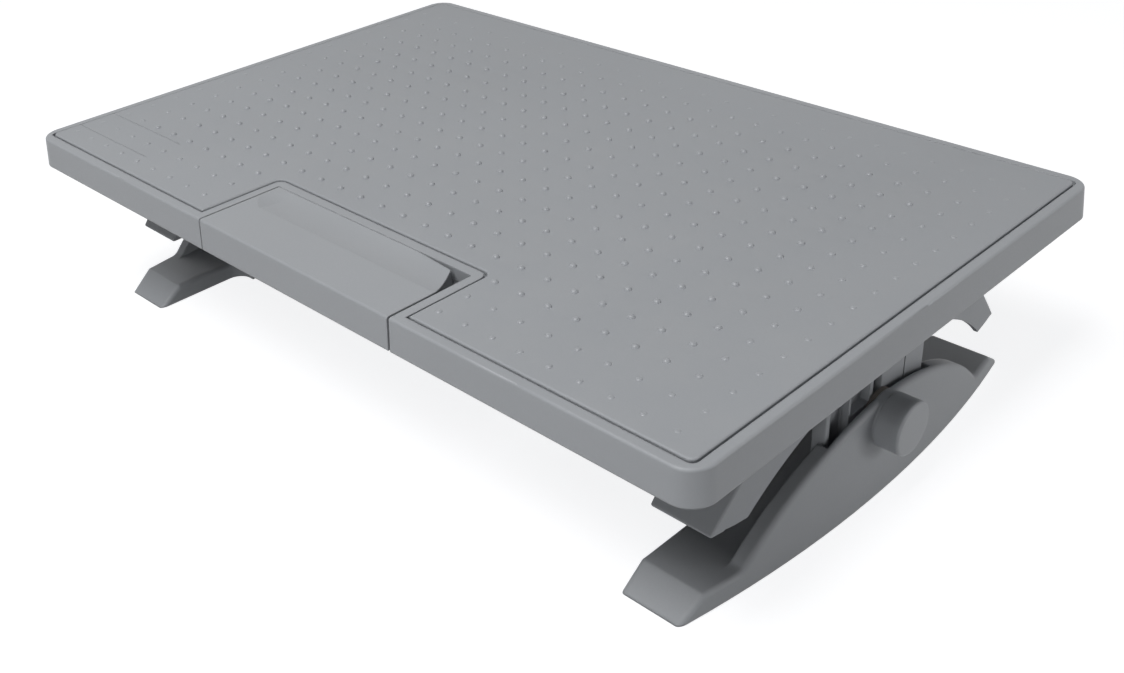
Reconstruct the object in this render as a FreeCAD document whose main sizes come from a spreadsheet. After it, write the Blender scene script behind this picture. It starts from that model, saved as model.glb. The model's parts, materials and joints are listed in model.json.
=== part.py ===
import FreeCAD, Part
import os
import re

import Sketcher

# Tilting under-desk footrest: a dotted tread board rocks on two arched feet, and a foot
# pedal in its front edge lifts a brake shoe off a fixed sector.
# Frame: X to the right, Y to the rear, Z up, origin on the floor under the middle.

SIZES = {
    # Board: a drafted frame with a flat tread panel let into its top
    "board_width": 560.0,
    "board_depth": 362.0,
    "board_bottom": 102.0,
    "board_height": 19.0,
    "board_draft": 5.0,
    "board_wall": 3.0,
    "board_corner": 14.0,
    "board_edge": 1.5,
    "deck": 2.5,
    "rim": 6.6,
    "panel_thickness": 3.0,
    "panel_proud": 0.7,
    "panel_corner": 4.0,
    "panel_edge": 1.1,
    "panel_gap": 1.3,
    "field_line": 0.7,
    "field_line_depth": 0.35,
    "field_reach": 85.0,
    "field_front": 28.0,
    "field_rear": 53.0,
    "rib": 2.0,
    "rib_pitch": 50.0,
    "channel_half": 27.0,
    # Notch in the front edge, and the pedal that fills it
    "opening_width": 170.0,
    "opening_depth": 57.5,
    "notch_rim": 6.6,
    "notch_corner": 5.0,
    "notch_wall_drop": 8.0,
    "pedal_gap": 1.5,
    "pedal_left_extra": 0.5,
    "pedal_rear_gap": 0.3,
    "pedal_wall": 3.0,
    "pedal_ridge": 33.0,
    "pedal_dish": 2.2,
    "pedal_dish_fade": 13.0,
    "pedal_corner_cut": 12.2,
    "pedal_corner_run": 24.0,
    "pedal_taper": 29.0,
    "pedal_taper_in": 2.0,
    "pedal_edge": 1.5,
    # Pedal hinge and its arms
    "hinge_pin": 5.0,
    "hinge_back": 12.0,
    "hinge_below": 7.2,
    "hinge_lug": 6.0,
    "hinge_lug_at": 61.0,
    "pedal_hub": 5.0,
    "arm_width": 20.0,
    "arm_thickness": 5.0,
    "arm_reach": 54.0,
    # Brake: lever, lining and sector
    "lever_pin_at": 58.0,
    "lever_pin_below": 8.7,
    "lever_width": 26.0,
    "lever_thickness": 7.0,
    "lever_tip": 5.4,
    "lever_overlap": 6.0,
    "lever_neck": 14.0,
    "shoe_length": 24.0,
    "shoe_root": 25.0,
    "lining": 3.0,
    "sector_radius": 44.0,
    "sector_width": 18.0,
    "sector_foot": 46.0,
    "sector_top": 48.0,
    "sector_flange": 4.0,
    "sector_flange_width": 44.0,
    "sector_window": 22.0,
    "sector_screw_across": 16.0,
    "sector_screw_along": 17.0,
    "spring_radius": 5.0,
    "spring_wire": 1.1,
    "spring_turns": 4.0,
    "spring_pocket": 4.0,
    # Pivot of the board in the feet
    "pivot_height": 46.5,
    "bolt": 8.0,
    "bolt_head": 16.0,
    "bolt_head_length": 4.0,
    "bolt_short": 4.0,
    "bush_outer": 16.0,
    "bush_flange": 22.0,
    "bush_flange_thickness": 1.5,
    "bush_proud": 0.4,
    "washer": 18.0,
    "washer_thickness": 1.5,
    "friction_washer": 30.0,
    "knob": 31.0,
    "knob_length": 14.4,
    "knob_edge": 1.5,
    "knob_cap": 2.9,
    "insert": 14.0,
    # Feet: a flat sole with an arched wall along its bowed outer side
    "foot_inset": 68.0,
    "foot_width": 38.2,
    "foot_bow": 15.5,
    "foot_length": 308.0,
    "foot_lean": 2.4,
    "sole": 12.0,
    "toe_run": 16.5,
    "toe_corner": 3.0,
    "hump_top": 60.3,
    "hump_radius": 157.0,
    "hump_width": 9.0,
    "hump_edge": 3.0,
    "hump_tail": 8.0,
    "hump_wall": 3.0,
    "skin_gap": 3.5,
    "knob_seat": 30.0,
    "root_half": 88.0,
    "root_corner": 10.0,
    "root_length": 14.0,
    "tongue": 20.0,
    "tongue_top": 5.8,
    "pad_length": 16.0,
    "pad_width": 24.0,
    "pad_in": 7.0,
    "pad_from_toe": 4.0,
    "pad_thickness": 2.4,
    "pad_proud": 0.6,
    "foot_cell": 32.0,
    "foot_rib": 4.0,
    # Bridge between the feet
    "bridge_clearance": 2.0,
    "bridge_shell": 3.0,
    "bridge_cell": 46.0,
    "bridge_rib": 4.0,
    "bridge_screw_near": 22.0,
    "bridge_screw_far": 64.0,
    # Cradles under the board, with a hanger plate in each
    "cradle_bottom": 43.5,
    "cradle_half": 134.7,
    "cradle_splay": 0.89,
    "cradle_wall": 3.0,
    "cradle_inset": 0.5,
    "cradle_set_in": 2.5,
    "cradle_edge": 1.2,
    "cradle_screw_in": 12.0,
    "cradle_screw_near": 20.0,
    "cradle_screw_far": 58.0,
    "arch_lift": 28.7,
    "hanger_out": 5.3,
    "hanger_thickness": 8.0,
    "hanger_half": 46.2,
    "hanger_swing": 3.4,
    "hanger_edge": 1.0,
    "hanger_bottom": 28.5,
    "hanger_flange": 20.0,
    "hanger_flange_thickness": 4.0,
    "hanger_slot": 8.0,
    "hanger_slot_height": 30.0,
    "hanger_line_at": 26.5,
    "hanger_line": 1.0,
    "hanger_line_depth": 4.0,
    "hanger_pocket": 5.5,
    "hanger_pocket_low": 40.0,
    "hanger_pocket_step": 57.0,
    "hanger_rib": 1.5,
    "hanger_line_stop": 12.0,
    "hanger_screw_in": 14.0,
    "hanger_screw_pitch": 34.0,
    # Screws and running clearances
    "screw": 3.4,
    "screw_head": 7.0,
    "screw_head_height": 2.2,
    "screw_length": 13.0,
    "screw_boss": 4.5,
    "screw_gap": 0.1,
    "running_gap": 0.1,
    "clear_gap": 0.3,
    "seat_gap": 0.1,
    "press_gap": 0.02,
}

# Levels and lines that follow from the sizes
LINES = {
    "rim_top": "board_bottom + board_height",
    "panel_top": "rim_top + panel_proud",
    "panel_bottom": "panel_top - panel_thickness",
    "deck_under": "panel_bottom - deck",
    "draft_in": "board_height * tan(board_draft)",
    "inner_x": "board_width / 2 - draft_in - board_wall",
    "inner_y": "board_depth / 2 - draft_in - board_wall",
    "board_front": "-board_depth / 2",
    "opening_half": "opening_width / 2",
    "opening_rear": "board_front + opening_depth",
    "hinge_y": "opening_rear + hinge_back",
    "hinge_z": "deck_under - hinge_below",
    "rib_start": "hinge_y + hinge_back",
    "lever_z": "deck_under - lever_pin_below",
    "lever_low": "lever_z - lever_thickness / 2",
    "lever_top": "lever_low + lever_thickness",
    "arm_end": "hinge_y + arm_reach",
    "hinge_grip": "hinge_lug_at + clear_gap + hinge_lug",
    "lever_grip": "lever_width / 2 + clear_gap + hinge_lug",
    "pedal_half": "opening_half - pedal_gap",
    "pedal_back": "opening_rear - pedal_rear_gap",
    "pedal_fold": "board_front + pedal_ridge",
    "dish_reach": "(pedal_back - pedal_fold) / 2",
    "dish_radius": "(dish_reach^2 + pedal_dish^2) / (2 * pedal_dish)",
    "foot_inner": "board_width / 2 - foot_inset",
    "foot_outer": "foot_inner + foot_width",
    "widest": "foot_outer + foot_bow",
    "bow_radius": "((foot_length / 2)^2 + foot_bow^2) / (2 * foot_bow)",
    "bow_height": "board_bottom + board_height",
    "hump_centre": "hump_top - hump_radius",
    "root_start": "foot_inner - root_length",
    "tongue_start": "root_start - tongue",
    "pad_at": "foot_length / 2 - toe_run - pad_from_toe",
    "cradle_inner": "foot_inner + cradle_set_in",
    "cradle_top_half": "cradle_half - (board_bottom - cradle_bottom) * cradle_splay",
    "cradle_slant": "cradle_wall * sqrt(1 + cradle_splay^2)",
    "hanger_face": "foot_outer + hanger_out",
    "hanger_back": "hanger_face - hanger_thickness",
    "flange_low": "board_bottom - cradle_wall - hanger_flange_thickness",
    "skin_face": "hanger_face + skin_gap",
    "knob_start": "widest - tan(foot_lean) * (pivot_height - knob / 2) + clear_gap",
    "knob_end": "knob_start + knob_length",
    "bush_start": "hanger_back - bush_flange_thickness",
    "bush_end": "hanger_face + bush_proud",
    "washer_start": "bush_start - seat_gap - washer_thickness",
    "head_start": "washer_start - seat_gap - bolt_head_length",
}

doc = FreeCAD.newDocument("footrest")
sheet = doc.addObject("Spreadsheet::Sheet", "size")
for row, (alias, number) in enumerate(SIZES.items(), start=1):
    sheet.set("A%d" % row, alias)
    sheet.set("B%d" % row, str(number))
    sheet.setAlias("B%d" % row, alias)
doc.recompute()


def linked(text):
    """Expression with each line written out and each size pointed at its cell of the sheet."""
    def swap(word):
        name = word.group()
        if name in LINES:
            return "(" + linked(LINES[name]) + ")"
        return "size." + name if name in SIZES else name
    return re.sub(r"[a-z_]+", swap, text)


def value(text):
    """Number that an expression gives now."""
    return float(sheet.evalExpression(linked(text)))


def bind(thing, **properties):
    """Ties properties of a feature to expressions."""
    for name, text in properties.items():
        thing.setExpression(name, linked(text))
    return thing


def move(thing, x="0", y="0", z="0", turn=FreeCAD.Rotation()):
    """Places a feature at expressions."""
    thing.Placement = FreeCAD.Placement(FreeCAD.Vector(value(x), value(y), value(z)), turn)
    for letter, text in zip("xyz", (x, y, z)):
        thing.setExpression("Placement.Base." + letter, linked(text))
    return thing


def mirrored_span(side, near, far):
    """Low and high end of a span on the right (side 1) or of its mirror on the left (side -1)."""
    return (near, far) if side == 1 else ("-(%s)" % far, "-(%s)" % near)


def block(name, x, y, z):
    """Box between two expressions on each axis."""
    solid = doc.addObject("Part::Box", name)
    bind(solid, Length="(%s) - (%s)" % (x[1], x[0]), Width="(%s) - (%s)" % (y[1], y[0]),
         Height="(%s) - (%s)" % (z[1], z[0]))
    return move(solid, x[0], y[0], z[0])


AXIS_TURN = {
    "X": FreeCAD.Rotation(FreeCAD.Vector(0, 1, 0), 90),
    "Y": FreeCAD.Rotation(FreeCAD.Vector(1, 0, 0), -90),
    "Z": FreeCAD.Rotation(),
}


def rod(name, axis, radius, start, end, at):
    """Cylinder along an axis from start to end, at two places on the other axes."""
    solid = doc.addObject("Part::Cylinder", name)
    bind(solid, Radius=radius, Height="(%s) - (%s)" % (end, start))
    places = {"X": (start, at[0], at[1]), "Y": (at[0], start, at[1]), "Z": (at[0], at[1], start)}[axis]
    return move(solid, *places, turn=AXIS_TURN[axis])


def fuse(name, *pieces):
    joined = doc.addObject("Part::MultiFuse", name)
    joined.Shapes = list(pieces)
    joined.Refine = True
    return joined


def cut(name, base, *tools):
    result = doc.addObject("Part::Cut", name)
    result.Base = base
    result.Tool = tools[0] if len(tools) == 1 else fuse(name + "_tools", *tools)
    result.Refine = True
    return result


def shared(name, first, second):
    result = doc.addObject("Part::Common", name)
    result.Base, result.Tool = first, second
    result.Refine = True
    return result


def mirrored(name, source):
    """Left-hand twin of a right-hand piece."""
    twin = doc.addObject("Part::Mirroring", name)
    twin.Source = source
    twin.Normal = FreeCAD.Vector(1, 0, 0)
    return twin


def rounded(name, base, radius, chosen):
    """Rounds the edges of a piece that a rule picks."""
    doc.recompute()
    result = doc.addObject("Part::Fillet", name)
    result.Base = base
    result.Edges = [(number, value(radius), value(radius))
                    for number, edge in enumerate(base.Shape.Edges, start=1) if chosen(edge)]
    return result


def round_edges(body, feature, name, radius, chosen):
    """Adds a fillet to a body on the edges of its last feature that a rule picks."""
    numbers = [number for number, edge in enumerate(feature.Shape.Edges, start=1) if chosen(edge)]
    result = body.newObject("PartDesign::Fillet", name)
    result.Base = (feature, ["Edge%d" % number for number in numbers])
    result.setExpression("Radius", linked(radius))
    body.Tip = result
    doc.recompute()
    return result


def upright(edge):
    """True for a straight vertical edge."""
    return edge.BoundBox.XLength < 1e-6 and edge.BoundBox.YLength < 1e-6


def at_level(edge, height):
    """True for an edge that lies wholly at a height."""
    return abs(edge.BoundBox.ZMin - height) < 1e-4 and abs(edge.BoundBox.ZMax - height) < 1e-4


def sketch_on(body, name, plane, start):
    """New sketch of a body on one of its origin planes, moved out by an expression."""
    sketch = body.newObject("Sketcher::SketchObject", name)
    origin_plane = [item for item in body.Origin.OriginFeatures if item.Role == plane][0]
    sketch.AttachmentSupport = [(origin_plane, "")]
    sketch.MapMode = "FlatFace"
    sketch.AttachmentOffset = FreeCAD.Placement(FreeCAD.Vector(0, 0, value(start)), FreeCAD.Rotation())
    sketch.setExpression("AttachmentOffset.Base.z", linked(start))
    return sketch


def prism(name, plane, corners, start, depth):
    """Body padded from a closed outline whose corners are expressions on an origin plane."""
    body = doc.addObject("PartDesign::Body", name)
    sketch = sketch_on(body, name + "_outline", plane, start)
    points = [FreeCAD.Vector(value(across), value(up), 0) for across, up in corners]
    for number, point in enumerate(points):
        sketch.addGeometry(Part.LineSegment(point, points[(number + 1) % len(points)]), False)
    for number, corner in enumerate(corners):
        sketch.addConstraint(Sketcher.Constraint("Coincident", number, 2, (number + 1) % len(points), 1))
        for way, text in zip(("DistanceX", "DistanceY"), corner):
            place = sketch.addConstraint(Sketcher.Constraint(way, number, 1, value(text)))
            sketch.setExpression("Constraints[%d]" % place, linked(text))
    pad = body.newObject("PartDesign::Pad", name + "_pad")
    pad.Profile = sketch
    pad.setExpression("Length", linked(depth))
    body.Tip = pad
    return body


finished = []


def named(piece, label):
    """Marks a finished sub-part, which is written under its label."""
    piece.Label = label
    finished.append(piece)
    return piece


def group(name, pieces):
    """Identical separate solids that share one node."""
    joined = doc.addObject("Part::Compound", name)
    joined.Links = list(pieces)
    return joined


def bow(name, inset):
    """Tall cone whose right side is the bowed, leaning outer face of a foot, set in by an amount."""
    solid = doc.addObject("Part::Cone", name)
    bind(solid, Radius1="bow_radius - (%s)" % inset,
         Radius2="bow_radius - (%s) - tan(foot_lean) * bow_height" % inset, Height="bow_height")
    return move(solid, "widest - bow_radius")


def screw(name, x, y, seat, upward=True):
    """Pan-head screw whose head seats at a level; its shank goes up, or down."""
    if upward:
        head = rod(name + "_head", "Z", "screw_head / 2", "%s - screw_head_height" % seat, seat, (x, y))
        shank = rod(name + "_shank", "Z", "screw / 2", "%s - screw_head_height / 2" % seat,
                    "%s + screw_length" % seat, (x, y))
    else:
        head = rod(name + "_head", "Z", "screw_head / 2", seat, "%s + screw_head_height" % seat, (x, y))
        shank = rod(name + "_shank", "Z", "screw / 2", "%s - screw_length" % seat,
                    "%s + screw_head_height / 2" % seat, (x, y))
    return fuse(name, head, shank)


def screw_hole(name, x, y, low, high):
    return rod(name, "Z", "screw / 2 + screw_gap", low, high, (x, y))


# Places of the screws in plan, on the right-hand side
HANGER_SCREWS = [("hanger_face - hanger_screw_in", y) for y in ("-hanger_screw_pitch", "0", "hanger_screw_pitch")]
CRADLE_SCREWS = [("foot_inner + cradle_screw_in", sign + name) for sign in ("-", "")
                 for name in ("cradle_screw_near", "cradle_screw_far")]
BRIDGE_SCREWS = [("root_start - tongue / 2", sign + name) for sign in ("-", "")
                 for name in ("bridge_screw_near", "bridge_screw_far")]
SECTOR_SCREWS = [(x + "sector_screw_across", y + "sector_screw_along") for x in ("-", "") for y in ("-", "")]


def build_board():
    """Frame: drafted outer shell, ribbed deck, open front notch, lugs and screw posts."""
    outline = [("-board_width / 2", "board_front"), ("board_width / 2", "board_front"),
               ("board_width / 2", "board_depth / 2"), ("-board_width / 2", "board_depth / 2")]
    outer = prism("board_outer", "XY_Plane", outline, "board_bottom", "board_height")
    pad = outer.Tip
    pad.setExpression("TaperAngle", linked("-board_draft"))
    doc.recompute()
    corners = round_edges(outer, pad, "board_corners", "board_corner",
                          lambda edge: edge.BoundBox.ZLength > value("board_height") / 2)
    top = value("rim_top")
    round_edges(outer, corners, "board_brim", "board_edge", lambda edge: at_level(edge, top))

    cavity = rounded("board_cavity", block("cavity_block", ("-inner_x", "inner_x"), ("-inner_y", "inner_y"),
                                           ("board_bottom - 1", "deck_under")),
                     "board_corner - board_wall - draft_in", upright)
    recess = panel_outline("panel_recess", "panel_gap / 2", "panel_bottom", "rim_top + 5")
    parts = [cut("board_shell", outer, cavity, recess)]

    parts.append(block("notch_rear", ("-opening_half - board_wall", "opening_half + board_wall"),
                       ("opening_rear", "opening_rear + board_wall"),
                       ("rim_top - notch_wall_drop", "panel_bottom")))
    for side in (-1, 1):
        parts.append(block("notch_side", mirrored_span(side, "opening_half", "opening_half + board_wall"),
                           ("board_front + draft_in", "opening_rear"), ("board_bottom", "panel_bottom")))
    # Long ribs front to rear, clear of the notch, and cross ribs that leave the mechanism's channel free
    columns = int((value("inner_x") - value("channel_half")) / value("rib_pitch")) + 1
    for count in range(columns):
        place = "channel_half + %d * rib_pitch" % count
        beside_notch = value(place) > value("opening_half + board_wall + rib")
        front = "-inner_y" if beside_notch else "rib_start"
        for side in (-1, 1):
            parts.append(block("long_rib", mirrored_span(side, place + " - rib / 2", place + " + rib / 2"),
                               (front, "inner_y"), ("board_bottom", "deck_under")))
    rows = int((value("inner_y") - value("rib_start")) / value("rib_pitch")) + 1
    for count in range(rows):
        place = "rib_start + %d * rib_pitch" % count
        past_lever = value(place) > value("lever_pin_at + hinge_pin")
        for side in (-1, 1):
            parts.append(block("cross_rib", mirrored_span(side, "0" if past_lever else "channel_half", "inner_x"),
                               (place, place + " + rib"), ("board_bottom", "deck_under")))
    # Lugs that hold the two pins
    for side in (-1, 1):
        parts.append(block("hinge_lug_block", mirrored_span(side, "hinge_lug_at + clear_gap", "hinge_grip"),
                           ("hinge_y - hinge_pin", "hinge_y + hinge_pin"), ("hinge_z - hinge_pin", "deck_under")))
        parts.append(block("lever_lug_block", mirrored_span(side, "lever_width / 2 + clear_gap", "lever_grip"),
                           ("lever_pin_at - hinge_pin", "lever_pin_at + hinge_pin"),
                           ("lever_z - hinge_pin", "deck_under")))
    for x, y in CRADLE_SCREWS + HANGER_SCREWS:
        for side in ("", "-"):
            parts.append(rod("screw_post", "Z", "screw_boss", "board_bottom", "deck_under", ("%s(%s)" % (side, x), y)))
    whole = fuse("board_whole", *parts)

    holes = [block("pedal_opening", ("-opening_half", "opening_half"), ("board_front - 5", "opening_rear"),
                   ("board_bottom - 5", "rim_top + 5")),
             rod("hinge_bore", "X", "hinge_pin / 2 + seat_gap", "-hinge_grip - 1", "hinge_grip + 1",
                 ("hinge_y", "hinge_z")),
             rod("lever_bore", "X", "hinge_pin / 2 + seat_gap", "-lever_grip - 1", "lever_grip + 1",
                 ("lever_pin_at", "lever_z"))]
    for x, y in CRADLE_SCREWS + HANGER_SCREWS:
        for side in ("", "-"):
            holes.append(screw_hole("post_hole", "%s(%s)" % (side, x), y, "board_bottom - 1",
                                    "deck_under - seat_gap"))
    named(cut("board_frame", whole, *holes), "platform_frame")


def panel_outline(name, grow, low, high):
    """Tread panel's outline with its notch, grown all round by an amount, between two levels."""
    half_x = "(board_width / 2 - draft_in - rim + (%s))" % grow
    half_y = "(board_depth / 2 - draft_in - rim + (%s))" % grow
    plate = rounded(name + "_plate", block(name + "_block", ("-" + half_x, half_x), ("-" + half_y, half_y),
                                           (low, high)), "panel_corner", upright)
    notch_x = "(opening_half + notch_rim - (%s))" % grow
    notch_rear = "opening_rear + notch_rim - (%s)" % grow
    notch = block(name + "_notch", ("-" + notch_x, notch_x), ("board_front - 5", notch_rear),
                  (low + " - 1", high + " + 1"))
    rear = value(notch_rear)
    eased = rounded(name + "_notch_eased", notch, "notch_corner",
                    lambda edge: upright(edge) and abs(edge.BoundBox.YMin - rear) < 1e-4)
    return cut(name, plate, eased)


def build_panel():
    plain = panel_outline("tread", "-panel_gap / 2", "panel_bottom", "panel_top")
    top = value("panel_top")
    eased = rounded("tread_eased", plain, "panel_edge", lambda edge: at_level(edge, top))
    end = "(board_width / 2 - draft_in - rim)"
    lines = [block("field_line", ("-%s - 1" % end, "-%s + field_reach" % end),
                   ("board_front + %s" % place, "board_front + %s + field_line" % place),
                   ("panel_top - field_line_depth", "panel_top + 1")) for place in ("field_front", "field_rear")]
    named(cut("tread_lined", eased, *lines), "tread_panel")


def build_pedal():
    """Pedal: hollow pad with a dished rear half, two hinge lugs and a long arm back to the brake lever."""
    front_top = "board_front + draft_in"
    profile = [("board_front", "board_bottom"), ("pedal_back", "board_bottom"), ("pedal_back", "rim_top"),
               (front_top, "rim_top")]
    pad = prism("pedal_pad", "YZ_Plane", profile, "-pedal_half - pedal_left_extra",
                "2 * pedal_half + pedal_left_extra")
    inner_back = "pedal_back - pedal_wall - pedal_taper_in"
    hollow_profile = [("board_front + pedal_wall", "board_bottom - 1"), (inner_back, "board_bottom - 1"),
                      (inner_back, "rim_top - pedal_wall - pedal_dish"),
                      ("pedal_fold", "rim_top - pedal_wall - pedal_dish"), ("pedal_fold", "rim_top - pedal_wall"),
                      (front_top + " + pedal_wall", "rim_top - pedal_wall")]
    hollow_half = "(pedal_half - pedal_wall - pedal_corner_cut)"
    hollow = prism("pedal_hollow", "YZ_Plane", hollow_profile, "-" + hollow_half, "2 * " + hollow_half)
    top, front = value("rim_top"), value(front_top)
    eased = rounded("pedal_eased", pad, "pedal_edge",
                    lambda edge: at_level(edge, top) and edge.BoundBox.XLength > 1
                    and abs(edge.BoundBox.YMin - front) < 1e-3)
    tip = "pedal_half - pedal_corner_cut"
    corners = [("pedal_half", "pedal_back - pedal_corner_run"), ("pedal_half + 5", "pedal_back - pedal_corner_run"),
               ("pedal_half + 5", "pedal_back + 5"), (tip + " - pedal_taper", "pedal_back + 5"),
               (tip + " - pedal_taper", "pedal_back"), (tip, "pedal_back - pedal_taper_in")]
    corner_cut = prism("pedal_corner", "XY_Plane", corners, "board_bottom - 5", "board_height + 15")
    # The dish runs out level with the rim at its left end
    dish_at = ("pedal_fold + dish_reach", "rim_top - pedal_dish + dish_radius")
    dish = rod("pedal_dish_round", "X", "dish_radius", "-pedal_half + pedal_dish_fade", "opening_half", dish_at)
    fade = doc.addObject("Part::Cone", "pedal_dish_fade")
    bind(fade, Radius1="dish_radius - pedal_dish", Radius2="dish_radius", Height="pedal_dish_fade")
    move(fade, "-pedal_half", *dish_at, turn=AXIS_TURN["X"])
    shell = cut("pedal_shell", eased, hollow, fuse("pedal_dish", dish, fade), corner_cut)
    arm_top = "lever_low - clear_gap"
    limbs = [block("pedal_arm", ("-arm_width / 2", "arm_width / 2"), (inner_back + " - 1", "arm_end"),
                   (arm_top + " - arm_thickness", arm_top)),
             rod("pedal_arm_hub", "X", "pedal_hub", "-arm_width / 2", "arm_width / 2", ("hinge_y", "hinge_z")),
             block("pedal_arm_neck", ("-arm_width / 2", "arm_width / 2"),
                   ("hinge_y - pedal_hub", "hinge_y + pedal_hub"), (arm_top + " - 1", "hinge_z"))]
    for side in (-1, 1):
        span = mirrored_span(side, "hinge_lug_at - hinge_lug", "hinge_lug_at")
        limbs.append(block("pedal_lug", span, (inner_back + " - 1", "hinge_y"),
                           ("hinge_z - pedal_hub", "hinge_z + pedal_hub / 2")))
        limbs.append(rod("pedal_lug_hub", "X", "pedal_hub", span[0], span[1], ("hinge_y", "hinge_z")))
    whole = fuse("pedal_whole", shell, *limbs)
    bore = rod("pedal_bore", "X", "hinge_pin / 2 + running_gap", "-hinge_lug_at - 1", "hinge_lug_at + 1",
               ("hinge_y", "hinge_z"))
    named(cut("pedal", whole, bore), "foot_pedal")


def build_brake():
    """Brake: sector on the bridge, lever with a shoe and lining over it, spring and both pins."""
    fan = prism("sector_fan", "YZ_Plane",
                [("-sector_foot / 2", "sole"), ("sector_foot / 2", "sole"),
                 ("sector_top / 2", "pivot_height + sector_radius + 5"),
                 ("-sector_top / 2", "pivot_height + sector_radius + 5")], "-sector_width / 2", "sector_width")
    drum = rod("sector_drum", "X", "sector_radius", "-sector_width", "sector_width", ("0", "pivot_height"))
    below = block("sector_room", ("-sector_width", "sector_width"), ("-sector_foot", "sector_foot"),
                  ("sole", "pivot_height"))
    web = shared("sector_web", fan, fuse("sector_limits", drum, below))
    flange = block("sector_base", ("-sector_flange_width / 2", "sector_flange_width / 2"),
                   ("-sector_foot / 2", "sector_foot / 2"), ("sole", "sole + sector_flange"))
    window = rod("sector_window", "X", "sector_window / 2", "-sector_width", "sector_width", ("0", "pivot_height"))
    holes = [screw_hole("sector_hole", x, y, "sole - 1", "sole + sector_flange + 1") for x, y in SECTOR_SCREWS]
    named(cut("sector", fuse("sector_solid", web, flange), window, *holes), "brake_sector")
    named(group("sector_screw_set", [screw("sector_screw", x, y, "sole + sector_flange", False)
                                     for x, y in SECTOR_SCREWS]), "sector_screws")

    bar = block("lever_bar", ("-lever_width / 2", "lever_width / 2"), ("arm_end + lever_neck", "lever_pin_at"),
                ("lever_low", "lever_top"))
    nose = block("lever_nose", ("-arm_width / 2", "arm_width / 2"),
                 ("arm_end - lever_overlap", "arm_end + lever_neck + 1"), ("lever_low", "lever_low + lever_tip"))
    hub = rod("lever_hub", "X", "lever_thickness / 2", "-lever_width / 2", "lever_width / 2",
              ("lever_pin_at", "lever_z"))
    shoe = block("lever_shoe", ("-sector_width / 2", "sector_width / 2"), ("-shoe_length / 2", "shoe_length / 2"),
                 ("lever_low - shoe_root", "lever_low + 1"))
    shoe_room = rod("shoe_room", "X", "sector_radius + clear_gap + lining", "-sector_width", "sector_width",
                    ("0", "pivot_height"))
    pocket = rod("spring_pocket_bore", "Z", "spring_radius + spring_wire + clear_gap", "lever_top - spring_pocket",
                 "lever_top + 5", ("0", "0"))
    bore = rod("lever_pin_bore", "X", "hinge_pin / 2 + running_gap", "-lever_width", "lever_width",
               ("lever_pin_at", "lever_z"))
    shoe_block = cut("lever_shoe_block", shoe, shoe_room)
    named(cut("lever", fuse("lever_whole", bar, nose, hub, shoe_block), pocket, bore), "brake_lever")

    lining_block = block("lining_block", ("-sector_width / 2", "sector_width / 2"),
                         ("-shoe_length / 2", "shoe_length / 2"), ("lever_low - shoe_root", "lever_low"))
    ring = cut("lining_ring",
               rod("lining_outer", "X", "sector_radius + clear_gap + lining", "-sector_width", "sector_width",
                   ("0", "pivot_height")),
               rod("lining_inner", "X", "sector_radius + clear_gap", "-sector_width - 1", "sector_width + 1",
                   ("0", "pivot_height")))
    named(shared("lining_pad", lining_block, ring), "brake_lining")

    for label, grip, y, z in (("pedal_hinge_pin", "hinge_grip", "hinge_y", "hinge_z"),
                              ("brake_lever_pin", "lever_grip", "lever_pin_at", "lever_z")):
        stem = rod(label + "_stem", "X", "hinge_pin / 2", "-" + grip, grip + " + 0.8 * hinge_pin", (y, z))
        head = rod(label + "_head", "X", "0.8 * hinge_pin", "-%s - 0.4 * hinge_pin" % grip, "-" + grip, (y, z))
        named(fuse(label + "_solid", stem, head), label)
    clips = []
    for grip, y, z in (("hinge_grip", "hinge_y", "hinge_z"), ("lever_grip", "lever_pin_at", "lever_z")):
        ring = rod("clip_ring", "X", "0.9 * hinge_pin", grip + " + seat_gap", grip + " + seat_gap + hinge_pin / 4",
                   (y, z))
        hole = rod("clip_hole", "X", "hinge_pin / 2 + press_gap", grip, grip + " + hinge_pin", (y, z))
        clips.append(cut("clip", ring, hole))
    named(group("clip_set", clips), "pin_clips")


def build_spring():
    """Compression spring between the deck and the lever's pocket, as one wound wire."""
    low = "lever_top - spring_pocket + spring_wire / 2 + seat_gap"
    height = "(deck_under - spring_wire / 2 - seat_gap) - (%s)" % low
    body = doc.addObject("PartDesign::Body", "spring_wound")
    sketch = sketch_on(body, "spring_section", "XZ_Plane", "0")
    centre = FreeCAD.Vector(value("spring_radius"), value(low), 0)
    sketch.addGeometry(Part.Circle(centre, FreeCAD.Vector(0, 0, 1), value("spring_wire / 2")), False)
    for way, text in (("DistanceX", "spring_radius"), ("DistanceY", low)):
        place = sketch.addConstraint(Sketcher.Constraint(way, 0, 3, value(text)))
        sketch.setExpression("Constraints[%d]" % place, linked(text))
    place = sketch.addConstraint(Sketcher.Constraint("Radius", 0, value("spring_wire / 2")))
    sketch.setExpression("Constraints[%d]" % place, linked("spring_wire / 2"))
    coil = body.newObject("PartDesign::AdditiveHelix", "spring_coil")
    coil.Profile = sketch
    coil.ReferenceAxis = (sketch, ["V_Axis"])
    bind(coil, Pitch="(%s) / spring_turns" % height, Height=height)
    body.Tip = coil
    named(body, "brake_spring")


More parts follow.
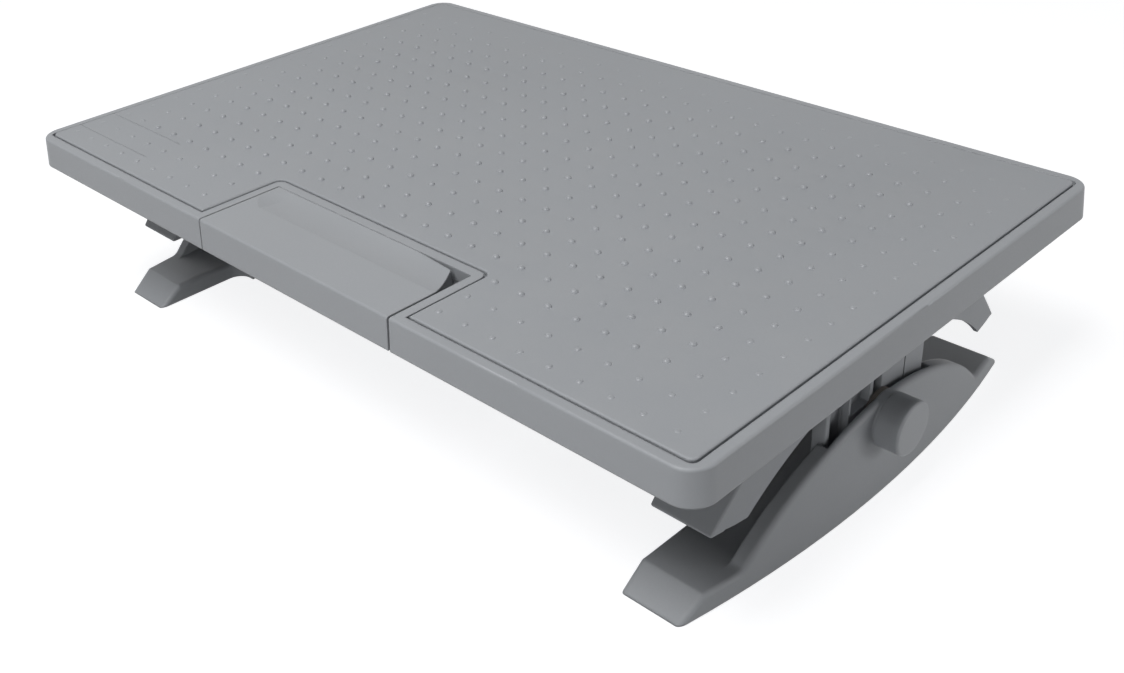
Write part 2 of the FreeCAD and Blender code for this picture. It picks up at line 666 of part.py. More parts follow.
def build_foot():
    """Foot: sole with slanted toes, bowed arched wall hollowed from below, hanger recess and a root."""
    half = "foot_length / 2"
    beyond = "widest + foot_bow"
    toe = "%s - toe_run" % half
    sole = prism("foot_sole", "YZ_Plane",
                 [("-" + half, "pad_proud"), (half, "pad_proud"), (toe, "sole"), ("-(%s)" % toe, "sole")],
                 "foot_inner", "%s - foot_inner" % beyond)
    root = block("foot_root", ("root_start", "foot_inner + root_corner"), ("-root_half", "root_half"),
                 ("pad_proud", "sole"))
    inner, corner = value("foot_inner"), value("root_half")
    rooted = rounded("foot_rooted", fuse("foot_flat", sole, root), "root_corner",
                     lambda edge: upright(edge) and abs(edge.BoundBox.XMin - inner) < 1e-3
                     and abs(abs(edge.BoundBox.YMin) - corner) < 1e-3)
    hump = shared("hump_disc", rod("hump_round", "X", "hump_radius", "foot_inner", beyond, ("0", "hump_centre")),
                  block("hump_block", ("foot_inner", beyond), ("-" + half, half), ("sole - 1", "hump_top + 5")))
    band = cut("hump_band", hump, bow("hump_inner_bow", "hump_width"))
    bowed = shared("foot_bowed", fuse("foot_blank", rooted, band), bow("foot_outer_bow", "0"))
    # Rounded toes, then the tails where the wall runs into the sole, then the wall's crest
    end = value(toe)
    toed = rounded("foot_toed", bowed, "toe_corner",
                   lambda edge: edge.BoundBox.ZLength > 1 and edge.BoundBox.XLength < 3
                   and min(abs(edge.BoundBox.YMin), abs(edge.BoundBox.YMax)) > end - 1)
    top = value("sole")
    tailed = rounded("foot_tailed", toed, "hump_tail",
                     lambda edge: at_level(edge, top) and edge.BoundBox.YLength < 1e-6
                     and end - 1 > abs(edge.BoundBox.YMin) > corner)
    high, outer = value("hump_top") / 2, value("widest - hump_width / 2")
    eased = rounded("foot_eased", tailed, "hump_edge",
                    lambda edge: edge.BoundBox.ZMax > high and edge.BoundBox.XMax > outer)
    tongue = block("foot_tongue", ("tongue_start", "foot_inner"),
                   ("-root_half + bridge_rib", "root_half - bridge_rib"), ("pad_proud", "tongue_top"))
    boss = rod("knob_boss", "X", "knob_seat / 2", "skin_face", "knob_start - seat_gap", ("0", "pivot_height"))
    # The hanger swings inside this round recess of the wall
    recess = shared("hanger_recess",
                    rod("recess_round", "X", "hanger_half + hanger_swing", "foot_outer - 5", "skin_face",
                        ("0", "pivot_height")),
                    block("recess_limit", ("foot_inner", beyond), ("-" + half, half), ("sole", "hump_top + 9")))
    tools = [recess, rod("bolt_hole", "X", "bolt / 2 + seat_gap", "foot_inner", beyond, ("0", "pivot_height"))]
    for side in (-1, 1):
        near, far = "hanger_half + hanger_swing + hump_wall", half
        span = (near, far) if side == 1 else ("-(%s)" % far, "-(%s)" % near)
        room = block("core_room", ("foot_inner + hump_wall", beyond), span, ("-1", "hump_top"))
        disc = rod("core_disc", "X", "hump_radius - hump_wall", "foot_inner", beyond, ("0", "hump_centre"))
        strip = cut("core_strip", bow("core_bow", "hump_wall"), bow("core_inner_bow", "hump_width - hump_wall"))
        tools.append(shared("hump_core", shared("core_limit", disc, room), strip))
        place = "%d * pad_at" % side
        tools.append(block("pad_seat", ("foot_inner + pad_in - seat_gap", "foot_inner + pad_in + pad_width + seat_gap"),
                           ("%s - pad_length / 2 - seat_gap" % place, "%s + pad_length / 2 + seat_gap" % place),
                           ("pad_proud - 1", "pad_thickness")))
    for count in range(-3, 4):
        centre = "%d * (foot_cell + foot_rib)" % count
        tools.append(block("sole_cell", ("foot_inner + bridge_shell", "foot_outer - bridge_shell"),
                           ("%s - foot_cell / 2" % centre, "%s + foot_cell / 2" % centre),
                           ("pad_proud - 1", "sole - bridge_shell")))
    for x, y in BRIDGE_SCREWS:
        tools.append(screw_hole("tongue_hole", x, y, "pad_proud - 1", "sole"))
        tools.append(rod("tongue_counterbore", "Z", "screw_head / 2 + clear_gap", "pad_proud - 1",
                         "pad_proud + screw_head_height + seat_gap", (x, y)))
    foot = named(cut("foot_right", fuse("foot_whole", eased, boss, tongue), *tools), "right_foot")
    named(mirrored("foot_left", foot), "left_foot")
    pads = []
    for side in (-1, 1):
        place = "%d * pad_at" % side
        pad = block("floor_pad", ("foot_inner + pad_in", "foot_inner + pad_in + pad_width"),
                    (place + " - pad_length / 2", place + " + pad_length / 2"), ("0", "pad_thickness"))
        pads += [pad, mirrored("floor_pad_twin", pad)]
    named(group("pad_set", pads), "floor_pads")


def build_bridge():
    """Bridge: shallow ribbed tray that laps over the tongues of both feet."""
    end = "root_start - seat_gap"
    plate = block("bridge_plate", ("-(%s)" % end, end),
                  ("-root_half + bridge_rib / 2", "root_half - bridge_rib / 2"), ("bridge_clearance", "sole"))
    tools = []
    for side in (-1, 1):
        tools.append(block("bridge_lap", mirrored_span(side, "tongue_start - clear_gap", end + " + 5"),
                           ("-root_half", "root_half"), ("0", "tongue_top + seat_gap")))
    pitch = "(bridge_cell + bridge_rib)"
    reach = int((value("tongue_start") - value("bridge_cell") / 2) / value(pitch))
    depth = "(root_half - bridge_rib) * 2 / 3"
    for row in (-1, 0, 1):
        for column in range(-reach, reach + 1):
            if row == 0 and column == 0:
                continue
            x, y = "%d * %s" % (column, pitch), "%d * %s" % (row, depth)
            tools.append(block("bridge_cell", (x + " - bridge_cell / 2", x + " + bridge_cell / 2"),
                               ("%s - %s / 2 + bridge_rib / 2" % (y, depth), "%s + %s / 2 - bridge_rib / 2" % (y, depth)),
                               ("0", "sole - bridge_shell")))
    for x, y in SECTOR_SCREWS:
        tools.append(screw_hole("bridge_sector_hole", x, y, "sole + sector_flange - screw_length - seat_gap",
                                "sole + 1"))
    for x, y in BRIDGE_SCREWS:
        for side in ("", "-"):
            tools.append(screw_hole("bridge_end_hole", "%s(%s)" % (side, x), y, "0", "sole - bridge_shell / 3"))
    named(cut("bridge", plate, *tools), "base_bridge")
    screws = []
    for x, y in BRIDGE_SCREWS:
        for side in ("", "-"):
            place = "%s(%s)" % (side, x)
            head = rod("bridge_screw_head", "Z", "screw_head / 2", "pad_proud + seat_gap",
                       "pad_proud + seat_gap + screw_head_height", (place, y))
            shank = rod("bridge_screw_shank", "Z", "screw / 2", "pad_proud + screw_head_height / 2",
                        "sole - bridge_shell / 2", (place, y))
            screws.append(fuse("bridge_screw", head, shank))
    named(group("bridge_screw_set", screws), "bridge_screws")


def build_cradle():
    """Cradle: hollow arched carrier under the board; hanger: plate inside it that drops to the pivot."""
    beyond = "widest + foot_bow"
    outer = prism("cradle_block", "YZ_Plane",
                  [("-cradle_half", "cradle_bottom"), ("cradle_half", "cradle_bottom"),
                   ("cradle_top_half", "board_bottom"), ("-cradle_top_half", "board_bottom")],
                  "cradle_inner", "%s - cradle_inner" % beyond)
    bowed = shared("cradle_bowed", outer, bow("cradle_bow", "cradle_inset"))
    top = value("board_bottom")
    edged = rounded("cradle_edged", bowed, "cradle_edge", lambda edge: not at_level(edge, top))
    low = "(cradle_bottom - cradle_wall)"
    low_half = "cradle_half + cradle_wall * cradle_splay - cradle_slant"
    high_half = "cradle_top_half + cradle_wall * cradle_splay - cradle_slant"
    room = prism("cradle_room", "YZ_Plane",
                 [("-(%s)" % low_half, low), (low_half, low), (high_half, "board_bottom - cradle_wall"),
                  ("-(%s)" % high_half, "board_bottom - cradle_wall")],
                 "cradle_inner + cradle_wall", "%s - cradle_inner" % beyond)
    hollow = shared("cradle_hollow", room, bow("cradle_inner_bow", "cradle_inset + cradle_wall"))
    arch = rod("cradle_arch", "X", "hump_radius", "cradle_inner - 5", beyond, ("0", "hump_centre + arch_lift"))
    holes = [screw_hole("cradle_hole", x, y, "cradle_bottom", "board_bottom + 1")
             for x, y in CRADLE_SCREWS + HANGER_SCREWS]
    cradle = named(cut("cradle_right", edged, hollow, arch, *holes), "right_cradle")
    named(mirrored("cradle_left", cradle), "left_cradle")

    face = value("hanger_face")
    plate = rounded("hanger_plate_eased",
                    block("hanger_plate", ("hanger_back", "hanger_face"), ("-hanger_half", "hanger_half"),
                          ("hanger_bottom", "board_bottom - cradle_wall")), "hanger_edge",
                    lambda edge: upright(edge) and abs(edge.BoundBox.XMin - face) < 1e-3)
    swing = fuse("hanger_swing",
                 rod("hanger_round", "X", "hanger_half + 0.6", "hanger_back", "hanger_face", ("0", "pivot_height")),
                 block("hanger_upper", ("hanger_back", "hanger_face"), ("-hanger_half", "hanger_half"),
                       ("pivot_height + 6", "board_bottom")))
    flange = block("hanger_flange_block", ("hanger_face - hanger_flange", "hanger_face - hanger_edge"),
                   ("-hanger_half + hanger_edge", "hanger_half - hanger_edge"),
                   ("flange_low", "board_bottom - cradle_wall"))
    tools = [rod("bush_hole", "X", "bush_outer / 2 + press_gap", "hanger_back - 5", "hanger_face + 5",
                 ("0", "pivot_height")),
             block("hanger_slot_cut", ("hanger_back - 1", "hanger_face + 1"), ("-hanger_slot / 2", "hanger_slot / 2"),
                   ("pivot_height", "pivot_height + hanger_slot_height"))]
    for side in (-1, 1):
        place = "%d * hanger_line_at" % side
        tools.append(block("hanger_line_cut", ("hanger_face - hanger_line_depth", "hanger_face + 1"),
                           (place + " - hanger_line / 2", place + " + hanger_line / 2"),
                           ("hanger_bottom - 1", "board_bottom - hanger_line_stop")))
    # Two pockets in the front half of the plate, with a thin rib between them
    for far, near, low in (("hanger_half - 2 * hanger_rib", "hanger_line_at", "hanger_pocket_low"),
                           ("hanger_line_at - hanger_line / 2 - hanger_rib", "hanger_slot / 2 + 2 * hanger_rib",
                            "hanger_pocket_step")):
        tools.append(block("hanger_pocket_cut", ("hanger_face - hanger_pocket", "hanger_face + 1"),
                           ("-(%s)" % far, "-(%s)" % near), (low, "board_bottom")))
    tools += [screw_hole("hanger_hole", x, y, "flange_low - 1", "board_bottom") for x, y in HANGER_SCREWS]
    body = fuse("hanger_solid", shared("hanger_shape", plate, swing), flange)
    hanger = named(cut("hanger_right", body, *tools), "right_hanger")
    named(mirrored("hanger_left", hanger), "left_hanger")

    for label, places, seat in (("cradle_screws", CRADLE_SCREWS, "board_bottom - cradle_wall - seat_gap"),
                                ("hanger_screws", HANGER_SCREWS, "flange_low - seat_gap")):
        screws = [screw(label[:-1], "%s(%s)" % (side, x), y, seat) for x, y in places for side in ("", "-")]
        named(group(label + "_set", screws), label)


def build_pivot():
    """Pivot of each side: bolt, washer, flanged bush, friction washer, and knob with its insert."""
    axis = ("0", "pivot_height")
    bush = cut("bush_right",
               fuse("bush_blank", rod("bush_body", "X", "bush_outer / 2", "bush_start", "bush_end", axis),
                    rod("bush_rim", "X", "bush_flange / 2", "bush_start",
                        "bush_start + bush_flange_thickness - press_gap", axis)),
               rod("bush_bore", "X", "bolt / 2 + running_gap", "bush_start - 1", "bush_end + 1", axis))
    washer = cut("washer_right", rod("washer_disc", "X", "washer / 2", "washer_start",
                                     "washer_start + washer_thickness", axis),
                 rod("washer_hole", "X", "bolt / 2 + seat_gap", "washer_start - 1", "bush_start", axis))
    bolt = fuse("bolt_right", rod("bolt_head_disc", "X", "bolt_head / 2", "head_start",
                                  "head_start + bolt_head_length", axis),
                rod("bolt_stem", "X", "bolt / 2", "head_start + bolt_head_length / 2", "knob_end - bolt_short", axis))
    lining = cut("friction_right",
                 rod("friction_disc", "X", "friction_washer / 2", "bush_end + clear_gap", "skin_face", axis),
                 rod("friction_hole", "X", "bolt / 2 + seat_gap", "bush_end", "skin_face + 1", axis))
    insert = cut("insert_right",
                 rod("insert_body", "X", "insert / 2", "knob_start + seat_gap", "knob_end - knob_cap - press_gap", axis),
                 rod("insert_bore", "X", "bolt / 2 + running_gap / 2", "knob_start", "knob_end", axis))
    doc.recompute()
    blank = rod("knob_blank", "X", "knob / 2", "knob_start", "knob_end", axis)
    end = value("knob_end")
    eased = rounded("knob_eased", blank, "knob_edge", lambda edge: edge.BoundBox.XMin > end - 1e-3)
    knob = cut("knob_right", eased,
               rod("knob_bore", "X", "insert / 2 + press_gap", "knob_start - 1", "knob_end - knob_cap", axis))
    for piece, name in ((bush, "pivot_bush"), (washer, "pivot_washer"), (bolt, "pivot_bolt"),
                        (lining, "friction_washer"), (insert, "knob_insert"), (knob, "side_knob")):
        named(piece, "right_" + name)
        named(mirrored(name + "_left", piece), "left_" + name)


build_board()
build_panel()
build_pedal()
build_brake()
build_spring()
build_foot()
build_bridge()
build_cradle()
build_pivot()
doc.recompute()

for thing in doc.Objects:
    if "Invalid" in thing.State or "Error" in thing.State:
        raise RuntimeError("%s is %s" % (thing.Name, thing.State))
for piece in finished:
    if piece.Shape.isNull() or not piece.Shape.isValid():
        raise RuntimeError("%s has no valid shape" % piece.Label)

os.makedirs("parts", exist_ok=True)
for piece in finished:
    piece.Shape.exportStep("parts/%s.step" % piece.Label)
    print("%-22s %d solids %10.0f mm3" % (piece.Label, len(piece.Shape.Solids), piece.Shape.Volume))
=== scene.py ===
import json
import math

import bmesh
import bpy
from mathutils import Matrix, Vector


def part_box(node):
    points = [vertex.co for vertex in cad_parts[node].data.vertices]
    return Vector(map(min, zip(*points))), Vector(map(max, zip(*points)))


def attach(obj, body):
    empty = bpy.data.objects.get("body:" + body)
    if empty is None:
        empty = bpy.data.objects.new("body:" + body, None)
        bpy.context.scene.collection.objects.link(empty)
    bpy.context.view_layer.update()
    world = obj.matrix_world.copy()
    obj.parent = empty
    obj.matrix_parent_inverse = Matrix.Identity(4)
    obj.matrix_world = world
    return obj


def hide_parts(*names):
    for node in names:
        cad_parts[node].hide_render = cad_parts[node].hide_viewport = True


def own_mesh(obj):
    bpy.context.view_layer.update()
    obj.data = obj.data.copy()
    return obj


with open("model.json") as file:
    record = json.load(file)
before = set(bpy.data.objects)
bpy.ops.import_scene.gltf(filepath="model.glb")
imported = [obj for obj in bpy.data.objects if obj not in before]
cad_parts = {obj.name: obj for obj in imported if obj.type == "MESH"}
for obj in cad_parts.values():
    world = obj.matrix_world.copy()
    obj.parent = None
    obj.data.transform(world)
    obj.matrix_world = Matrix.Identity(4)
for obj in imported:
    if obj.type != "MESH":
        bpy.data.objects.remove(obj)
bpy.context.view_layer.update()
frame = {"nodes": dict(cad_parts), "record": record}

# Tread: its top level, the notch that the pedal fills, and the lattice of its dots
TREAD_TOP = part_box("tread_panel")[1].z
NOTCH_HALF, NOTCH_REAR, NOTCH_MARGIN = 0.0916, -0.1169, 0.004
DOT_PITCH, DOT_RADIUS, DOT_HEIGHT = 0.01905, 0.0021, 0.0017
DOT_COLUMNS, DOT_ROWS = 28, 17
DOTS_MIDDLE_X = -0.0042
DOTS_MIDDLE_Y = -0.175 + 8.80 * DOT_PITCH
# Spans over which the dots lose height, and the share that is left at the edge
DOT_END_FADE = (0.205, 0.262, 0.2)
DOT_FRONT_FADE = (-0.120, -0.146, 0.5)
DOT_REAR_FADE = (0.100, 0.146, 0.2)
# Share of the height at which a dot is narrowest, its width there, and the level at which its dome is cut
DOT_LOWEST, DOT_NARROWEST, DOT_CUT = 0.2, 0.75, -0.1

# Screws: head and recess in shares of the head's height or radius, core and thread in shares of the shank's radius
HEAD_ROUNDING, RECESS_REACH, RECESS_WIDTH, RECESS_DROP = 0.42, 1.15, 0.26, 0.55
CORE_RADIUS, THREAD_RADIUS, THREAD_SIZE = 0.82, 0.86, 0.2
# Heights of the head from its face to the thread's start, and those by which the thread is shorter than the screw
THREAD_START, THREAD_LOSS = 1.3, 1.6
# Largest turn of a screw from the first one, in radians, and the seed of the draw
SCREW_TURN, TURN_SEED = 1.5, 4
# Screws of a node stand further apart than this
SCREWS_APART = 0.009

# Spring of the brake: radius of its wire, and its turns
SPRING_WIRE, SPRING_TURNS = 0.00055, 4.0

# Pads under the feet: half their length and width, and the grooves across them
PAD_HALF_LENGTH, PAD_HALF_WIDTH, PAD_ROUND = 0.012, 0.008, 0.0005
GROOVE_PITCH, GROOVE_TOP, GROOVE_FOOT, GROOVE_DEPTH = 0.004, 0.0005, 0.0007, 0.0007
# Edges that turn more than this, in radians, and are longer than this are rounded
SHARP_TURN, LONG_EDGE = 1.2, 0.0018

# Moulded grey of the plastics, as linear colours
MOULDED_GREY = (0.334, 0.348, 0.367)
INNER_GREY = (0.20, 0.205, 0.215)
DUST_COLOUR = (0.55, 0.54, 0.52, 1.0)
# Effects in a moulded finish: shares in the colour, tones as factors of it, and changes of the roughness
STREAK_SHARE, SPECKLE_SHARE, SPECKLE_TONE = 0.35, 0.5, 0.97
EDGE_SHARE, EDGE_TONE, EDGE_POLISH = 0.16, 1.30, -0.10
DUST_SHARE, DUST_DULLING = 0.2, 0.15
SPECKLE_POLISH, SPECKLE_DULLING = 0.04, 0.05

# Stage
STAGE_WHITE = (0.985, 0.99, 1.0, 1.0)
FLOOR_COLOUR = (0.36, 0.36, 0.364, 1.0)
FLOOR_GLOW = 0.87
FLOOR_HALF = 6.0
SKY_LIGHT = 0.03
LAMPS = {
    # Name: place, what it looks at, width, power in watts
    "front_softbox": ((-0.05, -1.1, 1.9), (0.0, 0.0, 0.1), 1.0, 17.5),
    "upper_softbox": ((0.05, -0.6, 1.5), (0.0, 0.0, 0.1), 0.8, 9.6),
    "rear_side_lamp": ((1.5, 0.7, 0.3), (0.1, 0.0, 0.08), 0.7, 5.3),
    "low_front_lamp": ((0.7, -1.7, 0.35), (0.0, 0.0, 0.08), 0.7, 4.6),
}
# Camera, with its roll in degrees, and its focal length and sensor in millimetres
CAMERA_PLACE = (0.5327, -0.5033, 0.4459)
CAMERA_TARGET = (0.1384, -0.1126, 0.1000)
CAMERA_ROLL, CAMERA_LENS, SENSOR_WIDTH = -2.67, 41.30, 36

FLOAT, WHOLE, MATERIAL = "NodeSocketFloat", "NodeSocketInt", "NodeSocketMaterial"
GEOMETRY, VECTOR = "NodeSocketGeometry", "NodeSocketVector"


# Node helpers
def add(tree, kind, **settings):
    """New node with its settings; the key inputs maps socket names or places to values or sockets."""
    node = tree.nodes.new(kind)
    for label, chosen in settings.pop("inputs", {}).items():
        socket = node.inputs[label]
        if isinstance(chosen, bpy.types.NodeSocket):
            tree.links.new(chosen, socket)
        else:
            socket.default_value = chosen
    for label, chosen in settings.items():
        setattr(node, label, chosen)
    return node


def compute(tree, operation, *operands):
    """Result of a math node on values or sockets."""
    return add(tree, "ShaderNodeMath", operation=operation, inputs=dict(enumerate(operands))).outputs[0]


def remap(tree, source, low, high, start=0.0, end=1.0):
    """A value mapped from one span to another and held within it."""
    return add(tree, "ShaderNodeMapRange", inputs={"Value": source, "From Min": low, "From Max": high,
                                                   "To Min": start, "To Max": end}).outputs[0]


def blended(tree, amount, first, second):
    """Mix of two colours by an amount."""
    return add(tree, "ShaderNodeMix", data_type="RGBA", inputs={0: amount, 6: first, 7: second}).outputs[2]


def vector(tree, **parts):
    """A vector from its parts x, y and z; a part left out is 0."""
    return add(tree, "ShaderNodeCombineXYZ",
               inputs={label.upper(): chosen for label, chosen in parts.items()}).outputs[0]


def new_group(name, inputs, outputs, kind="ShaderNodeTree"):
    """Empty node group with named inputs and outputs; gives the group and its two ends."""
    tree = bpy.data.node_groups.new(name, kind)
    for label, socket_type, start in inputs:
        socket = tree.interface.new_socket(label, in_out="INPUT", socket_type=socket_type)
        if start is not None:
            socket.default_value = start
    for label, socket_type in outputs:
        tree.interface.new_socket(label, in_out="OUTPUT", socket_type=socket_type)
    return tree, tree.nodes.new("NodeGroupInput"), tree.nodes.new("NodeGroupOutput")


def noise(tree, place, scale, detail, roughness):
    """Cloudy noise at a place."""
    return add(tree, "ShaderNodeTexNoise", inputs={"Vector": place, "Scale": scale, "Detail": detail,
                                                   "Roughness": roughness}).outputs["Fac"]


# Effects that several finishes share
def make_grain():
    """Spark-eroded grain of a moulded surface: a height and a faint light-and-dark speckle."""
    tree, given, result = new_group("moulded_grain", [("Coarse", FLOAT, 900.0), ("Fine", FLOAT, 2600.0)],
                                    [("Height", FLOAT), ("Speckle", FLOAT)])
    place = add(tree, "ShaderNodeTexCoord").outputs["Object"]
    coarse = noise(tree, place, given.outputs["Coarse"], 3.0, 0.6)
    fine = noise(tree, place, given.outputs["Fine"], 2.0, 0.7)
    pits = add(tree, "ShaderNodeTexVoronoi", inputs={"Vector": place, "Scale": given.outputs["Coarse"]})
    height = compute(tree, "MULTIPLY_ADD", coarse, 0.5, compute(tree, "MULTIPLY", fine, 0.3))
    height = compute(tree, "MULTIPLY_ADD", pits.outputs["Distance"], 0.35, height)
    tree.links.new(height, result.inputs["Height"])
    tree.links.new(remap(tree, coarse, 0.3, 0.7), result.inputs["Speckle"])
    return tree


def make_drift():
    """Slow change of shade over a moulding, with faint flow streaks along the length of the board."""
    tree, given, result = new_group("shade_drift", [("Scale", FLOAT, 7.0)], [("Cloud", FLOAT), ("Streak", FLOAT)])
    place = add(tree, "ShaderNodeTexCoord").outputs["Object"]
    cloud = noise(tree, place, given.outputs["Scale"], 4.0, 0.55)
    stretched = add(tree, "ShaderNodeMapping", inputs={"Vector": place, "Scale": (1.0, 9.0, 9.0)})
    streak = noise(tree, stretched.outputs[0], 9.0, 3.0, 0.5)
    tree.links.new(remap(tree, cloud, 0.3, 0.7), result.inputs["Cloud"])
    tree.links.new(remap(tree, streak, 0.35, 0.65), result.inputs["Streak"])
    return tree


def make_soft_edge():
    """Rounded shading of an edge, and a mask that is 1 where the surface turns round the edge."""
    tree, given, result = new_group("soft_edge", [("Radius", FLOAT, 0.0008)], [("Normal", VECTOR), ("Edge", FLOAT)])
    eased = add(tree, "ShaderNodeBevel", samples=6, inputs={"Radius": given.outputs["Radius"]})
    flat = add(tree, "ShaderNodeNewGeometry")
    aligned = add(tree, "ShaderNodeVectorMath", operation="DOT_PRODUCT",
                  inputs={0: eased.outputs[0], 1: flat.outputs["Normal"]})
    tree.links.new(eased.outputs[0], result.inputs["Normal"])
    tree.links.new(remap(tree, aligned.outputs["Value"], 0.995, 0.90), result.inputs["Edge"])
    return tree


def make_dust():
    """Light dust that settles on faces that look up, thicker in patches."""
    tree, given, result = new_group("settled_dust", [("Patch", FLOAT, 26.0)], [("Dust", FLOAT)])
    place = add(tree, "ShaderNodeTexCoord").outputs["Object"]
    facing = add(tree, "ShaderNodeSeparateXYZ", inputs={0: add(tree, "ShaderNodeNewGeometry").outputs["Normal"]})
    patch = remap(tree, noise(tree, place, given.outputs["Patch"], 5.0, 0.65), 0.42, 0.75)
    dust = compute(tree, "MULTIPLY", remap(tree, facing.outputs["Z"], 0.5, 1.0), patch)
    tree.links.new(dust, result.inputs["Dust"])
    return tree


GRAIN, DRIFT, SOFT_EDGE, DUST = make_grain(), make_drift(), make_soft_edge(), make_dust()


def place_group(tree, group, **chosen):
    """A shared effect in a material's tree, with its inputs set; gives its outputs."""
    node = add(tree, "ShaderNodeGroup", node_tree=group)
    for label, number in chosen.items():
        node.inputs[label.capitalize()].default_value = number
    return node.outputs


def shaded(colour, factor):
    """A colour made lighter or darker."""
    return tuple(min(1.0, channel * factor) for channel in colour) + (1.0,)


def new_material(name):
    """A material with its node tree and its shader."""
    material = bpy.data.materials.new(name)
    material.use_nodes = True
    return material, material.node_tree, material.node_tree.nodes["Principled BSDF"]


def set_bump(tree, shader, height, normal, strength, distance):
    """Fine relief on top of the rounded edges."""
    bump = add(tree, "ShaderNodeBump", inputs={"Height": height, "Normal": normal, "Strength": strength,
                                               "Distance": distance})
    tree.links.new(bump.outputs[0], shader.inputs["Normal"])


def moulded(name, colour, roughness=0.55, coarse=900.0, depth=0.00006, edge=0.0008, dust=0.25, drift=0.05):
    """Matt moulded plastic: fine grain, slow shade drift, paler rubbed edges and a trace of dust."""
    material, tree, shader = new_material(name)
    grain = place_group(tree, GRAIN, coarse=coarse, fine=coarse * 2.9)
    shade = place_group(tree, DRIFT, scale=7.0)
    rim = place_group(tree, SOFT_EDGE, radius=edge)
    cover = place_group(tree, DUST, patch=26.0)
    tone = blended(tree, shade["Cloud"], shaded(colour, 1.0 - drift), shaded(colour, 1.0 + drift))
    for effect, share, over in ((shade["Streak"], STREAK_SHARE, shaded(colour, 1.0 + drift / 2)),
                                (grain["Speckle"], SPECKLE_SHARE, shaded(colour, SPECKLE_TONE)),
                                (rim["Edge"], EDGE_SHARE, shaded(colour, EDGE_TONE)),
                                (cover["Dust"], dust * DUST_SHARE, DUST_COLOUR)):
        tone = blended(tree, compute(tree, "MULTIPLY", effect, share), tone, over)
    tree.links.new(tone, shader.inputs["Base Color"])
    matt = remap(tree, grain["Speckle"], 0.0, 1.0, roughness - SPECKLE_POLISH, roughness + SPECKLE_DULLING)
    matt = compute(tree, "MULTIPLY_ADD", rim["Edge"], EDGE_POLISH, matt)
    matt = compute(tree, "MULTIPLY_ADD", cover["Dust"], dust * DUST_DULLING, matt)
    tree.links.new(matt, shader.inputs["Roughness"])
    set_bump(tree, shader, grain["Height"], rim["Normal"], 0.55, depth)
    return material


def metal(name, colour, roughness, brushed, stain):
    """Plated or turned metal with fine turning marks, dull patches and bright rubbed edges."""
    material, tree, shader = new_material(name)
    shader.inputs["Metallic"].default_value = 1.0
    place = add(tree, "ShaderNodeTexCoord").outputs["Object"]
    marks = add(tree, "ShaderNodeMapping", inputs={"Vector": place, "Scale": (1.0, 6.0, 6.0)})
    lines = noise(tree, marks.outputs[0], brushed, 2.0, 0.6)
    patch = remap(tree, noise(tree, place, 160.0, 4.0, 0.6), 0.35, 0.7)
    rim = place_group(tree, SOFT_EDGE, radius=0.0003)
    tone = blended(tree, patch, shaded(colour, 1.0), shaded(colour, stain))
    tone = blended(tree, compute(tree, "MULTIPLY", rim["Edge"], 0.4), tone, shaded(colour, 1.2))
    tree.links.new(tone, shader.inputs["Base Color"])
    dull = remap(tree, lines, 0.3, 0.7, roughness - 0.06, roughness + 0.08)
    tree.links.new(compute(tree, "MULTIPLY_ADD", patch, 0.12, dull), shader.inputs["Roughness"])
    set_bump(tree, shader, lines, rim["Normal"], 0.4, 0.00003)
    return material


def rubber(name, colour, roughness):
    """Dull rubber with a fine pebble, greyed by dust on its worn high spots."""
    material, tree, shader = new_material(name)
    grain = place_group(tree, GRAIN, coarse=1500.0, fine=4200.0)
    rim = place_group(tree, SOFT_EDGE, radius=0.0005)
    shade = place_group(tree, DRIFT, scale=60.0)
    tone = blended(tree, shade["Cloud"], shaded(colour, 0.85), shaded(colour, 1.25))
    tone = blended(tree, compute(tree, "MULTIPLY", grain["Speckle"], 0.25), tone, shaded(colour, 1.7))
    tone = blended(tree, compute(tree, "MULTIPLY", rim["Edge"], 0.3), tone, shaded(colour, 2.2))
    tree.links.new(tone, shader.inputs["Base Color"])
    tree.links.new(remap(tree, grain["Speckle"], 0.0, 1.0, roughness, roughness + 0.12), shader.inputs["Roughness"])
    set_bump(tree, shader, grain["Height"], rim["Normal"], 0.7, 0.00008)
    return material


def make_finishes():
    """Finish of each material slot, and the closer finishes of single pieces."""
    return {
        "grey_plastic": moulded("grey_moulding", MOULDED_GREY),
        "tread_panel": moulded("tread_moulding", MOULDED_GREY, roughness=0.52, coarse=1100.0, edge=0.0012, dust=0.4,
                               drift=0.035),
        "tread_dots": moulded("dot_moulding", MOULDED_GREY, roughness=0.36, coarse=1500.0, depth=0.00002,
                              edge=0.0003),
        "platform_frame": moulded("frame_moulding", MOULDED_GREY, roughness=0.44, edge=0.0012),
        "foot_pedal": moulded("pedal_moulding", MOULDED_GREY, roughness=0.42, edge=0.0012, drift=0.04),
        "foot": moulded("foot_moulding", MOULDED_GREY, roughness=0.50, edge=0.0016, drift=0.06),
        "knob": moulded("knob_moulding", MOULDED_GREY, roughness=0.46, coarse=1300.0, edge=0.0009),
        "dark_plastic": moulded("inner_moulding", INNER_GREY, roughness=0.5, edge=0.0006),
        "pad_rubber": rubber("pad_rubber", (0.055, 0.055, 0.06), 0.75),
        "brake_rubber": rubber("brake_rubber", (0.11, 0.095, 0.085), 0.7),
        "pale_nylon": moulded("bush_nylon", (0.75, 0.74, 0.70), roughness=0.38, coarse=1600.0, depth=0.00002,
                              edge=0.0004, dust=0.1),
        "brass": metal("insert_brass", (0.72, 0.56, 0.28), 0.3, 900.0, 0.82),
        "zinc_steel": metal("zinc_plate", (0.62, 0.63, 0.65), 0.34, 1100.0, 0.86),
    }


